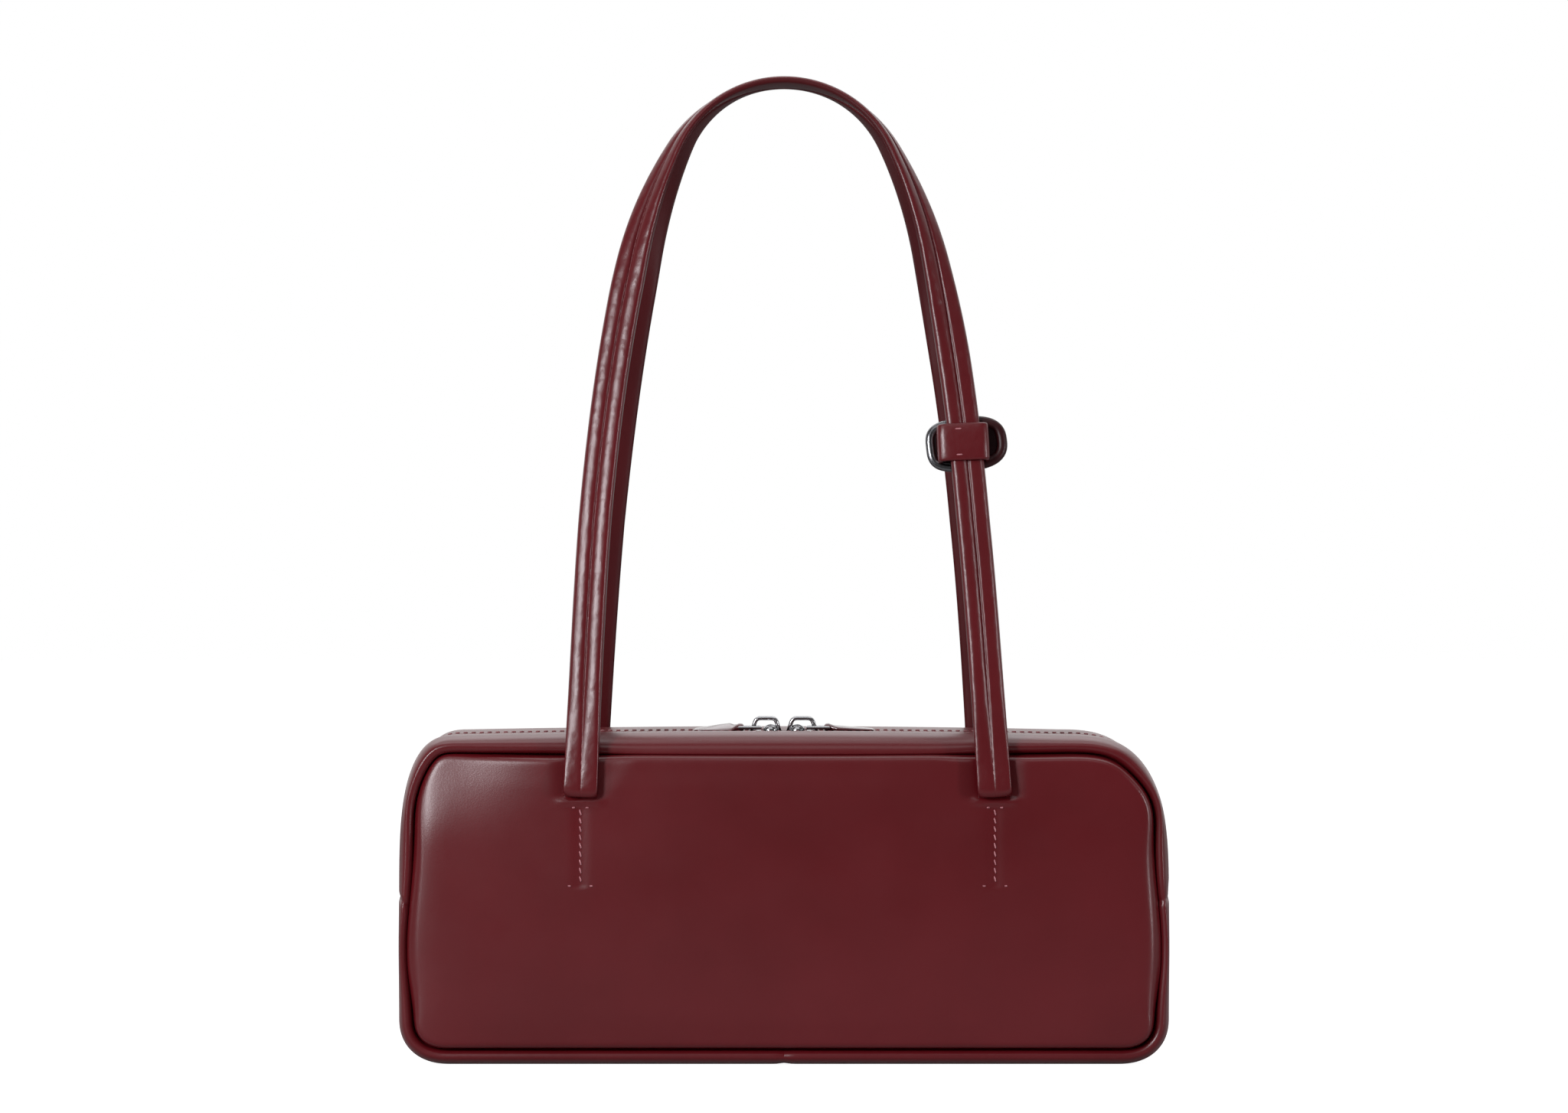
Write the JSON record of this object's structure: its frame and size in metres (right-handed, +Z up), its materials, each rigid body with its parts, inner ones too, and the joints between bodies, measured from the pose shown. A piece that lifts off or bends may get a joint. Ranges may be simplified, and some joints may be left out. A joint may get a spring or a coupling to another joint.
{
  "type": "baguette bag",
  "caption": "Long low leather shoulder bag with a zipped top, rolled seams, tall strap handles that swing down and a sliding keeper with a ring on a strap.",
  "frame": {"origin": "middle of the base, on the surface that the bag stands on", "axes": "+X to the right seen from the front, -Y out of the front panel, +Z up"},
  "size_m": [0.3, 0.0922, 0.3876],
  "materials": {
    "body_leather": "smooth semi-gloss",
    "strap_leather": "smooth semi-gloss, stitched",
    "tab_leather": "smooth semi-gloss",
    "bright_metal": "polished",
    "zip_tape": "woven tape",
    "zip_teeth": "moulded",
    "lining": "plain weave",
    "backing": "bonded fabric",
    "board": "pressed board",
    "welt_cord": "extruded"
  },
  "bodies": {
    "bag": {"base_board": "board", "front_left_tail": "strap_leather", "front_left_zip_gusset": "body_leather", "front_lining": "lining", "front_panel": "body_leather", "front_right_tail": "strap_leather", "front_right_zip_gusset": "body_leather", "front_stiffener": "board", "front_welt": "welt_cord", "gusset_lining": "lining", "left_base_gusset": "body_leather", "left_end_tapes": "zip_tape", "left_end_teeth": "zip_teeth", "rear_left_tail": "strap_leather", "rear_left_zip_gusset": "body_leather", "rear_lining": "lining", "rear_panel": "body_leather", "rear_right_tail": "strap_leather", "rear_right_zip_gusset": "body_leather", "rear_stiffener": "board", "rear_welt": "welt_cord", "right_base_gusset": "body_leather", "right_end_tapes": "zip_tape", "right_end_teeth": "zip_teeth", "tail_patches": "backing"},
    "front_mouth": {"front_mouth_strip": "body_leather", "front_mouth_tape": "zip_tape", "front_mouth_teeth": "zip_teeth"},
    "front_handle": {"front_handle": "strap_leather"},
    "rear_mouth": {"rear_mouth_strip": "body_leather", "rear_mouth_tape": "zip_tape", "rear_mouth_teeth": "zip_teeth"},
    "rear_handle": {"rear_handle": "strap_leather"},
    "left_slider": {"left_slider": "bright_metal", "left_bridge": "bright_metal"},
    "left_pull": {"left_pull_link": "bright_metal", "left_pull_tab": "tab_leather"},
    "right_slider": {"right_slider": "bright_metal", "right_bridge": "bright_metal"},
    "right_pull": {"right_pull_link": "bright_metal", "right_pull_tab": "tab_leather"},
    "keeper": {"keeper_band": "strap_leather", "keeper_ring": "bright_metal"}
  },
  "joints": [
    {"name": "front_handle_swing", "type": "hinge", "parent": "bag", "child": "front_handle", "pos_m": [0, -0.04407, 0.103], "axis": [1, 0, 0], "range_deg": [0, 116]},
    {"name": "rear_handle_swing", "type": "hinge", "parent": "bag", "child": "rear_handle", "pos_m": [0, 0.04407, 0.103], "axis": [-1, 0, 0], "range_deg": [0, 116]},
    {"name": "left_slider_run", "type": "slide", "parent": "bag", "child": "left_slider", "axis": [-1, 0, 0], "range_m": [0, 0.0934]},
    {"name": "right_slider_run", "type": "slide", "parent": "bag", "child": "right_slider", "axis": [1, 0, 0], "range_m": [0, 0.0934]},
    {"name": "front_mouth_open", "type": "hinge", "parent": "bag", "child": "front_mouth", "pos_m": [0, -0.0322, 0.1215], "axis": [1, 0, 0], "range_deg": [0, 45], "deforming": ["front_mouth_tape", "front_mouth_teeth"]},
    {"name": "rear_mouth_open", "type": "hinge", "parent": "bag", "child": "rear_mouth", "pos_m": [0, 0.0322, 0.1215], "axis": [-1, 0, 0], "range_deg": [0, 45], "deforming": ["rear_mouth_tape", "rear_mouth_teeth"]},
    {"name": "left_pull_swing", "type": "hinge", "parent": "left_slider", "child": "left_pull", "pos_m": [-0.0095, 0, 0.13], "axis": [0, 1, 0], "range_deg": [0, 110]},
    {"name": "right_pull_swing", "type": "hinge", "parent": "right_slider", "child": "right_pull", "pos_m": [0.0095, 0, 0.13], "axis": [0, -1, 0], "range_deg": [0, 110]},
    {"name": "keeper_slide", "type": "slide", "parent": "front_handle", "child": "keeper", "axis": [-0.1149, 0.1278, 0.9851], "range_m": [-0.012, 0.012]}
  ],
  "couplings": [
    {"joint": "right_slider_run", "follows": "left_slider_run", "ratio": 1},
    {"joint": "front_mouth_open", "follows": "left_slider_run", "rad_per_m": 8.408},
    {"joint": "rear_mouth_open", "follows": "left_slider_run", "rad_per_m": 8.408}
  ]
}
